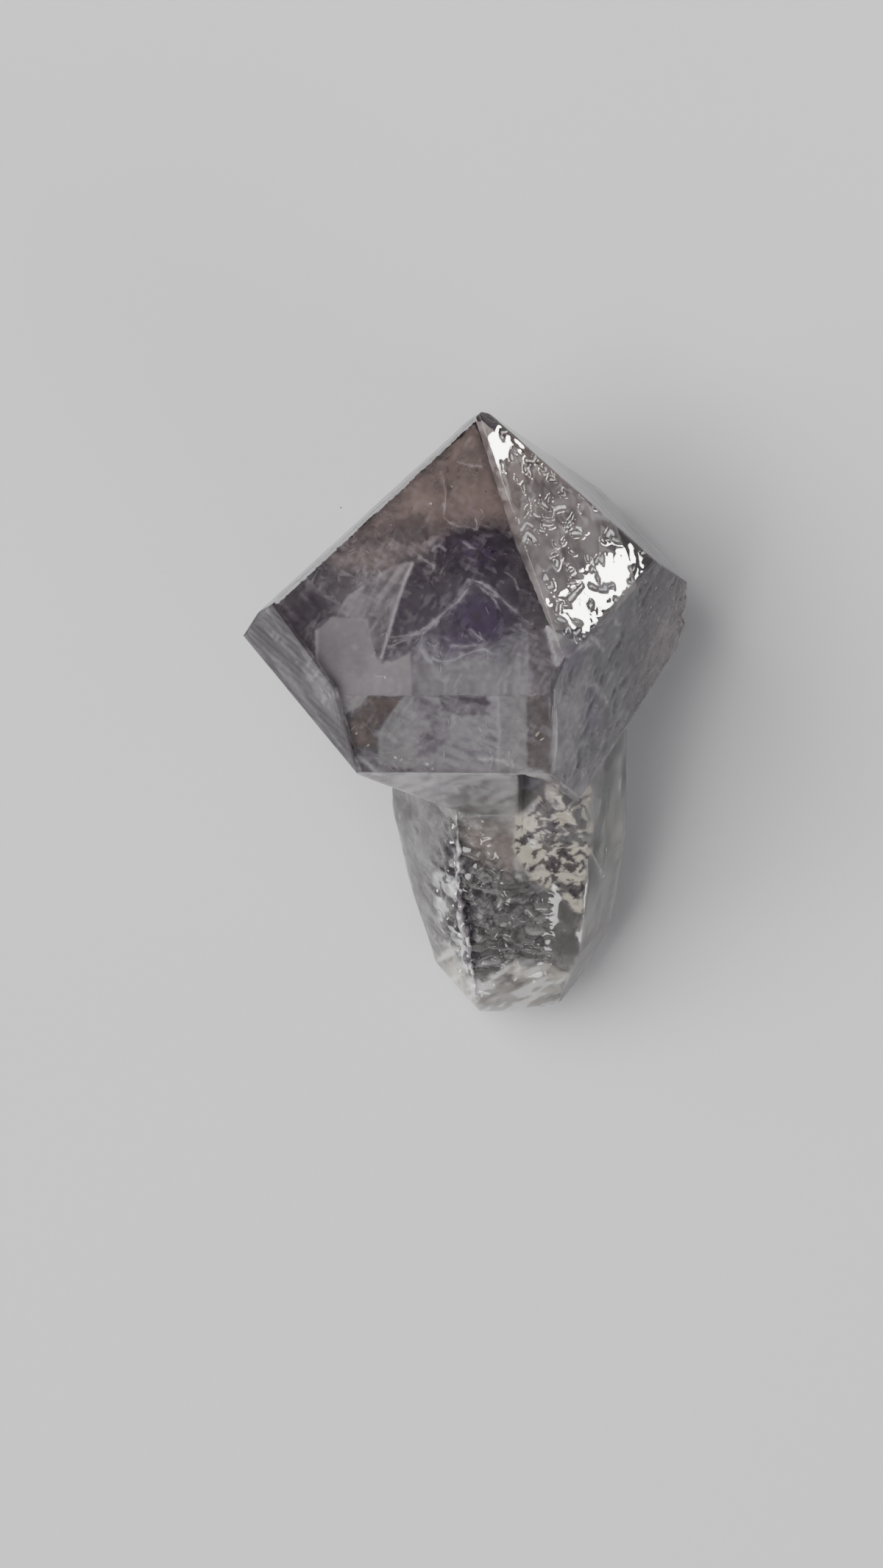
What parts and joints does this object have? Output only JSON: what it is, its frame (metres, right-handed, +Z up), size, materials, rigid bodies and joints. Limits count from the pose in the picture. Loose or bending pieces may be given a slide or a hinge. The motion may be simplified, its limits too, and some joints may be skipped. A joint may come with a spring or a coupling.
{
  "type": "scepter quartz crystal",
  "caption": "Amethyst scepter quartz: a wide six-sided see-through crystal head grown over a narrower, etched, tapering stem, lying on its back.",
  "frame": {"origin": "middle of the bounding box at the surface the crystal lies on", "axes": "+Z up, +Y along the crystal from the broken stem towards the tip, +X to the right seen from above"},
  "size_m": [0.0138, 0.0218, 0.0131],
  "materials": {
    "crystal": "clear to milky lavender grey, polished growth faces, etched stem"
  },
  "bodies": {
    "root": {"scepter_crystal": "crystal"}
  },
  "joints": []
}
